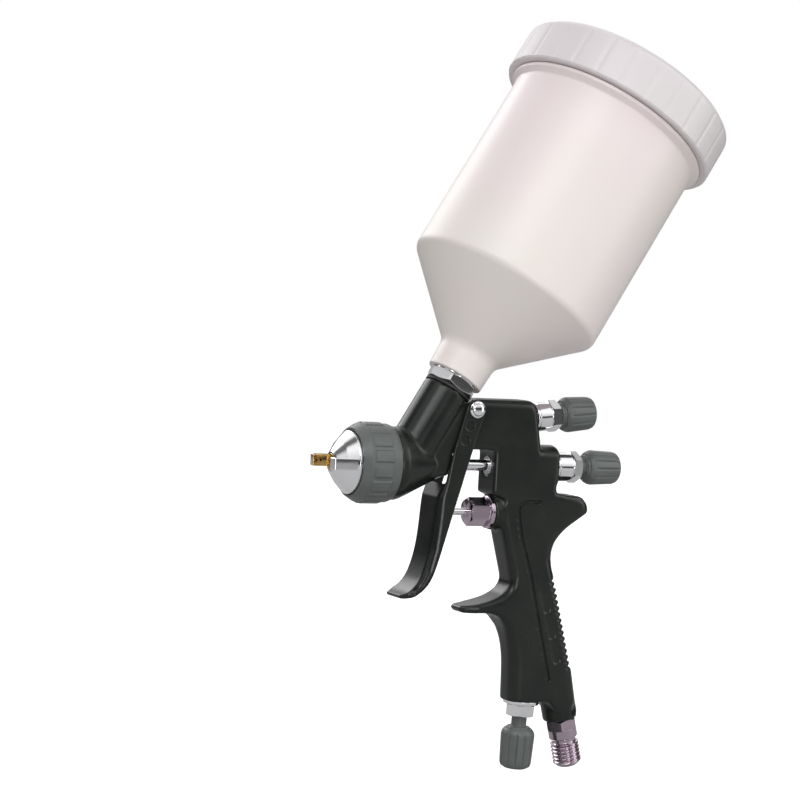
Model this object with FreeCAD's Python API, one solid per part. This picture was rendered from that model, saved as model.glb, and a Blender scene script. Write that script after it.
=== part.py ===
"""HVLP gravity-feed spray gun, written as one STEP file for each separate piece.

Everything is drawn about the nozzle axis first: +X runs back from the nozzle to the
rear valves, +Z is up and the gun is symmetrical about Y = 0. Each piece is moved at
the end, so that the file's origin is on the air inlet's axis, where its thread ends.
Lengths are in millimetres and angles in degrees.
"""
import FreeCAD, Part
import math
import os

Vector = FreeCAD.Vector

# ---- driving dimensions ----
# clearances
running_gap = 0.05        # radial gap of a piece that turns or slides in its seat
side_gap = 0.3            # gap between pieces that only pass each other

# body casting
body_width = 16.4
grip_grooves = 15
grip_groove_radius = 1.3
grip_groove_depth = 0.75

# head and air cap
head_flange_radius = 16.3
head_thread_radius = 14.6
head_back_x = -46.0       # back face of the air cap ring
head_face_x = -57.0       # front face of the head
tip_thread_radius = 5.5
tip_bore_radius = 0.7
tip_nozzle_radius = 1.35
cap_face_x = -73.0
cap_lip_x = -64.0         # front edge of the ring
cap_flange_radius = 13.6
cap_wall = 1.6
cap_hole_gap = 0.45
horn_reach = 4.5          # horns stand this far in front of the cap's face
horn_offset = 11.0
horn_height = 5.3
horn_thickness = 4.2
ring_radius = 18.0
ring_pads = 16
ring_pad_height = 0.7

# needle
needle_radius = 1.25
needle_tip_x = -72.6
needle_tail_x = 58.0
sleeve_radius = 2.6
sleeve_front_x = -10.0
sleeve_flange_radius = 4.4
gap_wall_x = 4.5          # back wall of the opening behind the trigger
needle_end_radius = 0.2
needle_taper = 5.9        # taper's length for each millimetre that its radius grows
gland_flats = 8.4         # nut that squeezes the needle's packing

# trigger
pivot_x = -7.5
pivot_z = 25.4
stud_radius = 1.95
stud_head_radius = 3.8
trigger_plate = 1.6
trigger_web = 2.0
pusher_radius = 2.0

# air valve in front of the handle
air_valve_drop = 21.1     # below the nozzle axis
air_valve_boss_radius = 8.1
air_valve_boss_x = 6.6
air_valve_nut_flats = 11.4
air_valve_nut_length = 9.4
air_valve_washer_radius = 7.4
air_valve_washer_length = 1.9
air_valve_bore = 5.8
air_valve_stem_radius = 1.6
chamber_end = 34.0        # back of the valve's air chamber, behind its washer seat
poppet_start = 14.0
poppet_length = 4.0

# rear valves: the same bushing and knob pattern is used three times
bushing_ring_radius = 6.6
bushing_thread_radius = 5.2
bushing_hex_flats = 12.6
bushing_depth = 12.0
screw_radius = 3.9
fluid_ring_end = 8.4      # ends of the collars and hexagons, and starts of the knobs
fluid_hex_end = 13.0
fluid_knob_start = 16.6
fluid_travel = 2.0        # how far the fluid knob screws out
fan_ring_end = 7.6
fan_hex_end = 12.6
fan_knob_start = 14.4
fan_plug_length = 6.0
adjust_ring_end = 1.6
adjust_hex_end = 7.2
adjust_knob_start = 12.0
adjust_plug_length = 7.0
fluid_knob_radius = 8.0
fluid_knob_length = 17.6
fan_knob_radius = 8.1
fan_knob_length = 17.0
fan_tilt = 5.5
adjust_knob_radius = 7.8
adjust_knob_length = 19.4
adjust_lean = 2.5
knob_flutes = 12

# air inlet
inlet_lean = 14.0
inlet_boss_radius = 8.2
inlet_hex_flats = 13.0
inlet_hex_length = 5.0
inlet_collar_radius = 6.6
inlet_collar_length = 4.3
inlet_thread_radius = 6.58
inlet_thread_length = 9.0
inlet_bore = 3.4

# cup
cup_tilt = 31.0
cup_axis_x = -38.0        # where the cup's axis meets the nozzle axis
feed_boss_radius = 10.8
feed_boss_top = 38.6      # distances along the cup's axis from the nozzle axis
adapter_washer_length = 1.3
adapter_hex_flats = 21.5
adapter_hex_length = 6.4
adapter_thread_radius = 10.6
adapter_thread_length = 10.0
adapter_bore = 5.0
cup_neck_length = 13.0
cup_cone_length = 31.5
cup_radius = 46.0
cup_wall = 1.6
cup_height = 97.7         # straight part
rim_collar = 2.6          # rim collar stands this far outside the cup
rim_collar_height = 5.5
lid_radius = 52.0
lid_height = 22.0
lid_wall = 1.8
lid_flutes = 27
lid_flute_depth = 0.4
filter_height = 24.0
vent_radius = 3.0
vent_offset = 24.0        # from the middle of the lid

# ---- shapes ----


class Axis:
    """A line in the gun's middle plane, on which turned pieces are made."""

    def __init__(self, base, direction):
        self.base = base
        self.direction = direction
        self.placement = FreeCAD.Placement(base, FreeCAD.Rotation(Vector(0, 0, 1), direction))

    def at(self, distance):
        return self.base + self.direction * distance

    def place(self, shape):
        shape.Placement = self.placement.multiply(shape.Placement)
        return shape


def lean(angle):
    """Direction in the middle plane, measured from +Z towards +X."""
    return Vector(math.sin(math.radians(angle)), 0, math.cos(math.radians(angle)))


def turned(axis, *profile):
    """Solid of revolution from a closed profile of (distance, radius) points."""
    points = [Vector(radius, 0, distance) for distance, radius in profile]
    face = Part.Face(Part.makePolygon(points + points[:1]))
    solid = face.revolve(Vector(0, 0, 0), Vector(0, 0, 1), 360)
    if solid.Volume < 0:
        solid.reverse()
    return axis.place(solid)


def rod(axis, start, end, radius, bore=0.0):
    """Plain round bar, or a tube when a bore is given."""
    return turned(axis, (start, bore), (end, bore), (end, radius), (start, radius))


def regular_prism(axis, start, end, across_flats, sides=6):
    """Bar of regular section, with flats square to the gun's sides."""
    corner = across_flats / 2 / math.cos(math.pi / sides)
    points = []
    for side in range(sides):
        angle = 2 * math.pi * (side + 0.5) / sides
        points.append(Vector(corner * math.sin(angle), corner * math.cos(angle), start))
    face = Part.Face(Part.makePolygon(points + points[:1]))
    return axis.place(face.extrude(Vector(0, 0, end - start)))


def hex_nut(axis, start, end, across_flats, chamfer=0.8):
    """Hexagon with both ends chamfered, solid through the middle."""
    corner = across_flats / 2 / math.cos(math.pi / 6)
    rounding = turned(
        axis,
        (start, 0),
        (start, corner - chamfer),
        (start + chamfer / 2, corner + 0.01),
        (end - chamfer / 2, corner + 0.01),
        (end, corner - chamfer),
        (end, 0),
    )
    return regular_prism(axis, start, end, across_flats).common(rounding)


def outline(start, stretches):
    """Edges of a closed outline in the middle plane, by name.

    A stretch of one point is a straight line to it, and a longer one is a smooth curve.
    """
    edges = {}
    last = Vector(start[0], 0, start[1])
    for name, stretch in stretches:
        points = [last] + [Vector(x, 0, z) for x, z in stretch]
        if len(points) == 2:
            edges[name] = Part.LineSegment(points[0], points[1]).toShape()
        else:
            curve = Part.BSplineCurve()
            curve.interpolate(points)
            edges[name] = curve.toShape()
        last = points[-1]
    return edges


def plate(edges, width):
    """Plate of an outline in the middle plane, centred on it."""
    face = Part.Face(Part.Wire(list(edges.values())))
    face.translate(Vector(0, -width / 2, 0))
    return face.extrude(Vector(0, width, 0))


def polygon_plate(points, y_low, y_high):
    """Plate of a straight-sided outline between two Y values."""
    corners = [Vector(x, y_low, z) for x, z in points]
    face = Part.Face(Part.makePolygon(corners + corners[:1]))
    return face.extrude(Vector(0, y_high - y_low, 0))


def joined(solid, pieces):
    for piece in pieces:
        solid = solid.fuse(piece)
    return solid


def drilled(solid, tools):
    for tool in tools:
        solid = solid.cut(tool)
    return solid


def coil(axis, start, end, radius, wire_radius, turns):
    """Open coil spring with its wire's ends cut square."""
    length = end - start - 2 * wire_radius
    path = Part.makeHelix(length / turns, length, radius)
    profile = Part.makeCircle(wire_radius, Vector(radius, 0, 0), Vector(0, 1, 0))
    spring = Part.Wire(path).makePipeShell([Part.Wire(profile)], True, True)
    spring.translate(Vector(0, 0, start + wire_radius))
    return axis.place(spring)


def cross_rod(x, z, radius, y_low, y_high):
    """Round bar across the gun."""
    return Part.makeCylinder(radius, y_high - y_low, Vector(x, y_low, z), Vector(0, 1, 0))


# ---- axes ----
nozzle = Axis(Vector(0, 0, 0), Vector(1, 0, 0))
air_valve = Axis(Vector(air_valve_boss_x, 0, -air_valve_drop), Vector(1, 0, 0))
cup_axis = Axis(Vector(cup_axis_x, 0, 0), lean(cup_tilt))
fan = Axis(Vector(26.6, 0, 22.3), lean(90 - fan_tilt))
adjust = Axis(Vector(29.4, 0, -107.4), lean(180 + adjust_lean))
inlet = Axis(Vector(50.9, 0, -116.4), lean(180 - inlet_lean))

inlet_thread_start = inlet_hex_length + inlet_collar_length + 2.2
inlet_end = inlet_thread_start + inlet_thread_length + 2.0
origin = inlet.at(inlet_thread_start + inlet_thread_length)

half_width = body_width / 2
adjust_neck_radius = screw_radius - 0.4   # it passes through the bushing
arm_inside = half_width + side_gap
arm_outside = arm_inside + trigger_plate
fluid_seat_x = 38.5       # back face of the needle housing
housing_radius = bushing_thread_radius   # bore behind the opening, for the needle's spring
needle_collar_start = gap_wall_x + 6.5
needle_collar_end = needle_collar_start + 3.0
needle_seat_x = fluid_seat_x - 9.0
needle_seat_length = 2.4
fluid_bushing_depth = fluid_seat_x - needle_seat_x - needle_seat_length - fluid_travel - side_gap
stud_from_cup_axis = (pivot_x - cup_axis_x) * cup_axis.direction.z - pivot_z * cup_axis.direction.x
adapter_washer_radius = stud_from_cup_axis - stud_radius - side_gap   # it just clears the trigger's stud
adapter_top = feed_boss_top + adapter_hex_length
cup_bottom = adapter_top + side_gap
cup_cone_start = cup_bottom + cup_neck_length
cup_cylinder_start = cup_cone_start + cup_cone_length
cup_top = cup_cylinder_start + cup_height
lid_start = cup_top - rim_collar_height + 1.6 + side_gap
lid_under = cup_top + 1.4
lid_top = lid_start + lid_height
filter_base = adapter_top + adapter_thread_length
fluid = Axis(Vector(fluid_seat_x, 0, 0), Vector(1, 0, 0))
across_cup = Vector(cup_axis.direction.z, 0, -cup_axis.direction.x)
vent_axis = Axis(cup_axis.at(lid_top - 1.6) + across_cup * vent_offset, cup_axis.direction)

# ---- body casting ----


def body_outline():
    """Outline of the flat-sided part of the casting, clockwise from inside the head."""
    stretches = [
        ("head_front", [(-40.0, 10.0)]),
        ("feed_front", [(-26.0, 31.5)]),
        ("feed_top", [(-13.4, 28.2)]),
        ("shoulder", [(-12.2, 30.0)]),
        ("top", [(20.0, 30.2)]),
        ("top_corner", [(23.6, 29.2), (25.4, 25.8)]),
        ("fan_face", [(28.9, 3.0)]),
        ("housing_top", [(37.4, 2.0)]),
        ("housing_back", [(37.4, -11.6)]),
        ("rear_hook_top", [(47.5, -12.8)]),
        ("rear_hook_tip", [(53.4, -15.0), (55.0, -18.2), (53.0, -22.0)]),
        ("throat", [(48.3, -25.2), (41.6, -30.9), (38.4, -36.5), (38.0, -42.0), (40.2, -50.0)]),
        ("grip_back", [(46.3, -71.0), (52.1, -92.2)]),
        ("inlet_back", [(56.6, -108.9)]),
        ("inlet_front", [(44.0, -112.0)]),
        ("notch", [(39.6, -107.4)]),
        ("handle_bottom", [(20.4, -107.4)]),
        ("grip_front", [(19.9, -92.0), (18.5, -81.0), (15.9, -73.5)]),
        ("finger_root", [(12.6, -69.0)]),
        ("finger_hook_under", [(8.0, -66.9), (2.0, -66.4), (-4.8, -66.4)]),
        ("finger_hook_tip", [(-7.0, -65.8), (-7.7, -64.4), (-6.6, -63.1)]),
        ("finger_hook_top", [(-2.6, -62.7), (4.2, -61.3), (12.0, -58.4), (16.4, -54.4), (16.7, -49.5)]),
        ("finger_rest", [(10.9, -28.0)]),
        ("valve_boss_back", [(10.9, -14.5)]),
        ("gap_floor", [(gap_wall_x, -12.5)]),
        ("gap_wall", [(gap_wall_x, 5.8)]),
        ("gap_corner", [(gap_wall_x - 0.5, 7.0), (gap_wall_x - 1.8, 7.4)]),
        ("gap_roof", [(-16.4, 7.4)]),
        ("gap_front", [(-18.8, -4.4)]),
        ("head_under", [(-40.0, -8.0)]),
    ]
    return outline((-40.0, -8.0), stretches)


def grip_ribs(edges):
    """Cross grooves that leave a row of ribs down the back of the handle."""
    curve = edges["grip_back"]
    tools = []
    for index in range(grip_grooves):
        share = (index + 0.5) / grip_grooves
        place = curve.FirstParameter + share * (curve.LastParameter - curve.FirstParameter)
        point = curve.valueAt(place)
        along = curve.tangentAt(place)
        out = Vector(-along.z, 0, along.x)
        if out.x < 0:
            out = -out
        middle = point + out * (grip_groove_radius - grip_groove_depth)
        tools.append(cross_rod(middle.x, middle.z, grip_groove_radius, -body_width, body_width))
    return tools


def head_solids():
    """Round parts of the casting: head, feed boss, valve housings and inlet boss."""
    head = turned(
        nozzle,
        (head_face_x, 0),
        (head_face_x, head_thread_radius),
        (head_back_x, head_thread_radius),
        (head_back_x, head_flange_radius),
        (head_back_x + 3.6, head_flange_radius),
        (-38.0, 14.4),
        (-27.0, 9.2),
        (-18.8, 5.6),
        (-18.8, 0),
    )
    feed = rod(cup_axis, 0, feed_boss_top, feed_boss_radius)
    needle_housing = rod(nozzle, 20.0, fluid_seat_x, 10.0)
    valve_boss = rod(air_valve, 0, 16.0, air_valve_boss_radius)
    inlet_boss = rod(inlet, -13.0, 0, inlet_boss_radius)
    sides = Part.makeBox(400, body_width, 400, Vector(-200, -half_width, -200))
    return [needle_housing.common(sides), valve_boss, inlet_boss.common(sides), head, feed]


def tip_corners(tip_x, back_x, tip_half, side_half, z_low, z_high):
    """Two wedges that narrow a forward-pointing lip towards its tip, one each side."""
    wedges = []
    for side in (-1, 1):
        corners = [(tip_x - 1, side * tip_half), (tip_x, side * tip_half), (back_x, side * side_half),
                   (back_x, side * (side_half + 2)), (tip_x - 1, side * (side_half + 2))]
        points = [Vector(x, y, z_low) for x, y in corners]
        face = Part.Face(Part.makePolygon(points + points[:1]))
        wedges.append(face.extrude(Vector(0, 0, z_high - z_low)))
    return wedges


def body_bores():
    """Everything drilled into the casting."""
    adapter_corner = adapter_hex_flats / 2 / math.cos(math.pi / 6)
    return [
        # head: air chamber, tip thread, needle hole and packing seat
        rod(nozzle, head_face_x - 1, head_face_x + 7.0, head_thread_radius - 2.4),
        rod(nozzle, head_face_x, head_face_x + 19.0, tip_thread_radius),
        rod(nozzle, head_face_x + 10.0, -15.0, needle_radius + 0.5),
        rod(nozzle, -25.0, -15.0, 3.0),
        # paint feed
        rod(cup_axis, 0, feed_boss_top + 1, adapter_bore - 0.8),
        rod(cup_axis, feed_boss_top - 11.0, feed_boss_top + 1, 7.0),
        # room for the adapter's hexagon and the gland nut, and a square face under the handle
        rod(cup_axis, feed_boss_top, feed_boss_top + 12.0, adapter_corner + side_gap),
        rod(nozzle, -18.8, -13.0, gland_flats / 2 / math.cos(math.pi / 6) + side_gap),
        rod(adjust, 0, 4.0, half_width + side_gap),
        # needle housing
        rod(nozzle, gap_wall_x - 1, gap_wall_x + 4.0, 4.2),
        rod(nozzle, gap_wall_x + 4.0, fluid_seat_x + 1, housing_radius),
        # fan valve
        rod(fan, -13.0, 1.5, bushing_thread_radius),
        rod(fan, -24.0, 0, 3.0),
        # air valve chamber
        rod(air_valve, -1, chamber_end, air_valve_bore),
        # air valve chamber to the inlet, down the handle
        rod(inlet, -97.0, 1, inlet_bore),
        rod(inlet, -11.0, 1, bushing_thread_radius),
        # air adjusting valve
        rod(adjust, -15.0, 1, bushing_thread_radius),
        rod(adjust, -54.0, 0, 2.4),
        # trigger stud
        cross_rod(pivot_x, pivot_z, stud_radius, -body_width, body_width),
    ]


def gun_body():
    edges = body_outline()
    casting = joined(plate(edges, body_width), head_solids())
    hook_tip = tip_corners(-7.9, 0.5, half_width * 0.55, half_width, -72.0, -60.0)
    return drilled(casting, body_bores() + grip_ribs(edges) + hook_tip)


# ---- fluid head ----


def fluid_tip():
    """Nozzle that screws into the head, with a conical seat for the needle."""
    seat = head_face_x + 19.0
    outside = [
        (cap_face_x - 0.4, tip_nozzle_radius),
        (cap_face_x + 3.0, tip_nozzle_radius),
        (head_face_x - 4.0, 5.0),
        (head_face_x + 1.0, 6.6),
        (head_face_x + 7.0, 6.6),
        (head_face_x + 7.0, tip_thread_radius),
        (seat, tip_thread_radius),
    ]
    inside = [
        (seat, 3.4),
        (head_face_x - 2.0, 3.4),
        (cap_face_x + 3.0, tip_bore_radius),
        (cap_face_x - 0.4, tip_bore_radius),
    ]
    return turned(nozzle, *(outside + inside))


def air_baffle():
    """Ring with air holes between the tip's flange and the head's chamber."""
    front = head_face_x + 1.2
    ring = rod(nozzle, front, front + 3.4, head_thread_radius - 2.4, 6.6)
    holes = []
    for index in range(10):
        angle = 2 * math.pi * index / 10
        hole = Part.makeCylinder(0.9, 6.0, Vector(front - 1, 9.3 * math.cos(angle), 9.3 * math.sin(angle)),
                                 Vector(1, 0, 0))
        holes.append(hole)
    return ring.cut(holes)


def air_cap():
    """Domed cap with two horns, thin-walled, with a flange held by the ring."""
    back = head_face_x - 0.6
    cone = [
        (cap_face_x, tip_nozzle_radius + cap_hole_gap),
        (cap_face_x, 4.6),
        (cap_face_x + 0.8, 5.6),
        (cap_lip_x - 1.0, 14.0),
        (cap_lip_x + 2.2, 14.0),
        (cap_lip_x + 2.2, cap_flange_radius + 1.0),
        (back, cap_flange_radius + 1.0),
        (back, cap_flange_radius - cap_wall),
        (cap_lip_x + 0.6, cap_flange_radius - cap_wall),
        (cap_face_x + 2.4, 4.2),
        (cap_face_x + 2.4, tip_nozzle_radius + cap_hole_gap),
    ]
    shell = turned(nozzle, *cone)
    horns = []
    for side in (-1, 1):
        inner = horn_offset - horn_thickness / 2
        outer = horn_offset + horn_thickness / 2
        tip = cap_face_x - horn_reach
        low, high = sorted((side * inner, side * outer))
        horn = Part.makeBox(cap_lip_x - tip, high - low, horn_height, Vector(tip, low, -horn_height / 2))
        outside_cone = turned(
            nozzle, (tip - 1, 0), (tip - 1, outer + 0.6), (cap_lip_x + 0.1, outer + 0.6), (cap_lip_x + 0.1, 0)
        )
        horn = horn.common(outside_cone)
        hollow = turned(
            nozzle, (cap_face_x + 1.6, 0), (cap_face_x + 1.6, 4.4), (cap_lip_x + 0.2, 13.0), (cap_lip_x + 0.2, 0)
        )
        horn = horn.cut(hollow)
        for offset in (1.6, 3.6):
            jet = Part.makeCylinder(0.45, 4.0, Vector(tip + offset, side * (inner - 1), 0),
                                    Vector(0.35, side, 0).normalize())
            horn = horn.cut(jet)
        horns.append(horn)
    return joined(shell, horns)


def cap_clip():
    """Slip washer between the cap's flange and the ring's lip."""
    return rod(nozzle, cap_lip_x + 1.6, cap_lip_x + 2.2, cap_flange_radius + 1.0, 14.0 + side_gap / 2)


def air_cap_ring():
    """Knurled ring that screws over the head and holds the cap."""
    thread = head_thread_radius + running_gap
    lip = 14.0 + side_gap
    body_radius = ring_radius - ring_pad_height
    ring = turned(
        nozzle,
        (cap_lip_x, lip),
        (cap_lip_x, lip + 1.2),
        (cap_lip_x + 3.6, body_radius),
        (head_back_x - 3.0, body_radius),
        (head_back_x - 1.4, head_flange_radius + 0.6),
        (head_back_x - 0.1, head_flange_radius + 0.6),
        (head_back_x - 0.1, thread),
        (cap_lip_x + 1.6, thread),
        (cap_lip_x + 1.6, lip),
    )
    pads = []
    width = 2 * math.pi * body_radius / ring_pads * 0.62
    for index in range(ring_pads):
        pad = Part.makeBox(10.5, width, 3.0, Vector(cap_lip_x + 4.2, -width / 2, body_radius - 2.4))
        pad.rotate(Vector(0, 0, 0), Vector(1, 0, 0), 360.0 * (index + 0.5) / ring_pads)
        pads.append(pad)
    limit = rod(nozzle, cap_lip_x, head_back_x, ring_radius, thread + 1.0)
    shaped = [pad.common(limit) for pad in pads]
    return joined(ring, shaped)


# ---- needle ----


def fluid_needle():
    return turned(
        nozzle,
        (needle_tip_x, 0),
        (needle_tip_x, needle_end_radius),
        (needle_tip_x + needle_taper * (needle_radius - needle_end_radius), needle_radius),
        (needle_tail_x, needle_radius),
        (needle_tail_x, 0),
    )


def needle_sleeve():
    """Polished sleeve on the needle, with a flange for the trigger to push."""
    return turned(
        nozzle,
        (sleeve_front_x, needle_radius),
        (sleeve_front_x, sleeve_flange_radius),
        (sleeve_front_x + 1.4, sleeve_flange_radius),
        (sleeve_front_x + 1.4, sleeve_radius),
        (needle_collar_start, sleeve_radius),
        (needle_collar_start, needle_radius),
    )


def needle_collar():
    return rod(nozzle, needle_collar_start, needle_collar_end, housing_radius - side_gap, needle_radius)


def needle_packing():
    return rod(nozzle, -25.0, -18.9, 3.0, needle_radius + running_gap)


def packing_nut():
    """Gland nut behind the head that squeezes the packing."""
    nut = hex_nut(nozzle, -18.8, -15.2, gland_flats)
    return nut.cut(rod(nozzle, -19.0, -15.0, needle_radius + 0.3))


def sleeve_bushing():
    return rod(nozzle, gap_wall_x, gap_wall_x + 4.0, 4.2, sleeve_radius + running_gap)


def needle_spring():
    return coil(nozzle, needle_collar_end, needle_seat_x, 3.9, 0.5, 7)


def needle_spring_seat():
    """Loose washer between the spring and the fluid knob."""
    return rod(nozzle, needle_seat_x, needle_seat_x + needle_seat_length, housing_radius - side_gap,
               needle_radius + 0.6)


# ---- bushings and knobs of the three valves ----


def bushing(axis, ring_end, hex_end, depth, screw):
    """Threaded sleeve with a round collar and a hexagon outside the body."""
    outside = turned(
        axis,
        (-depth, 0),
        (-depth, bushing_thread_radius),
        (0, bushing_thread_radius),
        (0, bushing_ring_radius - 0.5),
        (0.5, bushing_ring_radius),
        (ring_end - 0.5, bushing_ring_radius),
        (ring_end, bushing_ring_radius - 0.5),
        (ring_end, 0),
    )
    solid = outside.fuse(hex_nut(axis, ring_end, hex_end, bushing_hex_flats))
    return solid.cut(rod(axis, -depth - 1, hex_end + 1, screw + running_gap))


def knob(axis, start, length, radius, neck_radius, neck_start, screw_end, bore, bore_end):
    """Fluted knob with its neck and threaded shank in one piece."""
    shoulder = 2.0
    profile = [
        (screw_end, bore),
        (screw_end, screw_radius),
        (neck_start, screw_radius),
        (neck_start, neck_radius),
        (start, neck_radius),
        (start, radius - 2.2),
        (start + shoulder, radius - 0.3),
        (start + shoulder + 1.6, radius),
        (start + length - 1.6, radius),
        (start + length, radius - 1.6),
        (start + length, 0),
        (bore_end, 0),
        (bore_end, bore),
    ]
    solid = turned(axis, *profile)
    flutes = []
    for index in range(knob_flutes):
        angle = 2 * math.pi * index / knob_flutes
        reach = radius + 0.55
        flute = Part.makeCylinder(
            0.95, length, Vector(reach * math.cos(angle), reach * math.sin(angle), start + shoulder + 1.2)
        )
        flutes.append(axis.place(flute))
    return solid.cut(flutes)


def fluid_bushing():
    return bushing(fluid, fluid_ring_end, fluid_hex_end, fluid_bushing_depth, screw_radius)


def fluid_knob():
    return knob(
        fluid, fluid_knob_start, fluid_knob_length, fluid_knob_radius, 4.4, fluid_hex_end + 3.2,
        needle_seat_x + needle_seat_length - fluid_seat_x, needle_radius + 0.6,
        fluid_knob_start + fluid_knob_length - 5.7,
    )


def fan_bushing():
    return bushing(fan, fan_ring_end, fan_hex_end, bushing_depth, screw_radius)


def fan_knob():
    return knob(
        fan, fan_knob_start, fan_knob_length, fan_knob_radius, 5.6, fan_hex_end + 0.8,
        -bushing_depth + fan_plug_length, 0.8, 6.0,
    )


def fan_plunger():
    """Pointed plug that the fan knob pushes against its seat."""
    back = -bushing_depth + fan_plug_length
    return turned(
        fan,
        (-23.0, 0),
        (-23.0, 1.2),
        (-19.0, 2.6),
        (-15.4, 2.6),
        (-15.4, 1.9),
        (-14.0, 1.9),
        (-14.0, 2.6),
        (-bushing_depth - 0.6, 2.6),
        (-bushing_depth - 0.6, screw_radius - 0.3),
        (back, screw_radius - 0.3),
        (back, 0),
    )


def plunger_seal(axis, start, end, groove_radius, bore_radius):
    return rod(axis, start + 0.1, end - 0.1, bore_radius - running_gap, groove_radius)


def fan_seal():
    return plunger_seal(fan, -15.4, -14.0, 1.9, 3.0)


def adjust_bushing():
    """Collar and hexagon under the handle."""
    outside = turned(
        adjust,
        (-bushing_depth, 0),
        (-bushing_depth, bushing_thread_radius),
        (0, bushing_thread_radius),
        (0, half_width),
        (adjust_ring_end - 0.4, half_width),
        (adjust_ring_end, half_width - 0.4),
        (adjust_ring_end, 0),
    )
    solid = outside.fuse(hex_nut(adjust, adjust_ring_end, adjust_hex_end, bushing_hex_flats))
    return solid.cut(rod(adjust, -bushing_depth - 1, adjust_hex_end + 1, screw_radius + running_gap))


def adjust_knob():
    return knob(
        adjust, adjust_knob_start, adjust_knob_length, adjust_knob_radius, adjust_neck_radius,
        adjust_hex_end - 5.0, -bushing_depth + adjust_plug_length, 0.8, 4.0,
    )


def adjust_plunger():
    back = -bushing_depth + adjust_plug_length
    return turned(
        adjust,
        (-26.0, 0),
        (-26.0, 1.0),
        (-22.0, 2.1),
        (-19.4, 2.1),
        (-19.4, 1.5),
        (-18.2, 1.5),
        (-18.2, 2.1),
        (-bushing_depth + 2.4, 2.1),
        (-bushing_depth + 2.4, screw_radius - 0.3),
        (back, screw_radius - 0.3),
        (back, 0),
    )


def adjust_seal():
    return plunger_seal(adjust, -19.4, -18.2, 1.5, 2.4)


# ---- trigger ----


def trigger_outline():
    """Side view of the trigger, clockwise from the front of its arms."""
    stretches = [
        ("arm_front", [(-12.4, 25.6)]),
        ("arm_top", [(-11.0, 28.6), (-7.3, 29.6), (-3.7, 28.0), (-2.9, 24.6)]),
        ("arm_back", [(-8.0, 8.0), (-13.2, -10.2)]),
        ("lever_back", [(-15.6, -18.5), (-20.0, -34.3), (-23.0, -44.5), (-26.6, -52.6), (-31.0, -56.8)]),
        ("lip_under", [(-35.2, -59.0), (-39.0, -59.3)]),
        ("lip_end", [(-39.4, -57.9)]),
        ("front", [(-36.0, -56.4), (-31.6, -52.6), (-28.4, -46.0), (-26.2, -37.0), (-24.9, -26.0), (-23.6, -14.0)]),
        ("web_top", [(-20.6, -7.0)]),
        ("arm_low", [(-17.6, 7.0)]),
    ]
    return outline((-17.6, 7.0), stretches)


def trigger():
    """Bent channel: two arms beside the body and a web in front for the fingers."""
    edges = trigger_outline()
    shell = plate(edges, 2 * arm_outside)
    front = [(-30.8, -54.6), (-26.4, -46.4), (-24.0, -37.0), (-22.8, -26.0), (-21.6, -14.0), (-20.6, -8.6),
             (-21.6, -6.0), (-40.0, 12.0), (-14.0, 40.0), (20.0, 40.0), (20.0, -75.0), (-29.5, -75.0)]
    channel = polygon_plate(front, -arm_inside, arm_inside)
    shell = shell.cut(channel)
    bar_x = sleeve_front_x - side_gap - pusher_radius
    slot = needle_radius + 0.9
    pushers = [
        cross_rod(bar_x, 0, pusher_radius, -arm_inside - 0.5, -slot),
        cross_rod(bar_x, 0, pusher_radius, slot, arm_inside + 0.5),
    ]
    shell = joined(shell, pushers)
    hole = cross_rod(pivot_x, pivot_z, stud_radius + running_gap, -20, 20)
    dimples = []
    for x, z in ((-10.4, 18.1), (-12.4, 11.7)):
        for side in (-1, 1):
            low, high = sorted((side * (arm_outside - 0.6), side * (arm_outside + 1)))
            dimples.append(cross_rod(x, z, 2.2, low, high))
    lip_end = tip_corners(-39.6, -33.5, arm_outside * 0.62, arm_outside, -62.0, -54.0)
    return drilled(shell, [hole] + dimples + lip_end)


def trigger_stud():
    """Pivot pin with a domed head on the near side."""
    head = arm_outside + side_gap / 2
    height = 2.2
    ball = (stud_head_radius**2 + height**2) / (2 * height)
    dome = Part.makeSphere(ball, Vector(pivot_x, -head - height + ball, pivot_z))
    cap = Part.makeCylinder(stud_head_radius, 4.0, Vector(pivot_x, -head, pivot_z), Vector(0, -1, 0))
    pin = cross_rod(pivot_x, pivot_z, stud_radius, -head - 0.4, half_width)
    solid = dome.common(cap).fuse(pin)
    return solid.cut(cross_rod(pivot_x, pivot_z, 1.2, 0.0, half_width + 1))


def trigger_screw():
    """Screw that goes into the stud's end, with a flat head on the far side."""
    head = arm_outside + side_gap / 2
    shank = cross_rod(pivot_x, pivot_z, 1.2, 1.0, head + 0.3)
    shoulder = cross_rod(pivot_x, pivot_z, stud_radius, half_width, head + 0.3)
    flat_head = cross_rod(pivot_x, pivot_z, stud_head_radius, head, head + 1.6)
    slot = Part.makeBox(8.0, 2.0, 0.9, Vector(pivot_x - 4, head + 0.9, pivot_z - 0.45))
    return shank.fuse([shoulder, flat_head]).cut(slot)


# ---- air valve ----


def air_valve_washer():
    return turned(
        air_valve,
        (-air_valve_washer_length, air_valve_bore),
        (0, air_valve_bore),
        (0, air_valve_washer_radius),
        (-air_valve_washer_length + 0.5, air_valve_washer_radius),
        (-air_valve_washer_length, air_valve_washer_radius - 0.5),
    )


def air_valve_nut():
    """Hexagon body of the air valve with its threaded barrel and stem guide."""
    front = -air_valve_washer_length - air_valve_nut_length
    barrel = rod(air_valve, -air_valve_washer_length - 0.5, 9.0, air_valve_bore)
    nut = hex_nut(air_valve, front, -air_valve_washer_length, air_valve_nut_flats, 1.2)
    guide = rod(air_valve, front - 1, 10.0, air_valve_stem_radius + running_gap)
    counterbore = rod(air_valve, 4.0, 10.0, air_valve_bore - 1.4)
    return nut.fuse(barrel).cut([guide, counterbore])


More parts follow.
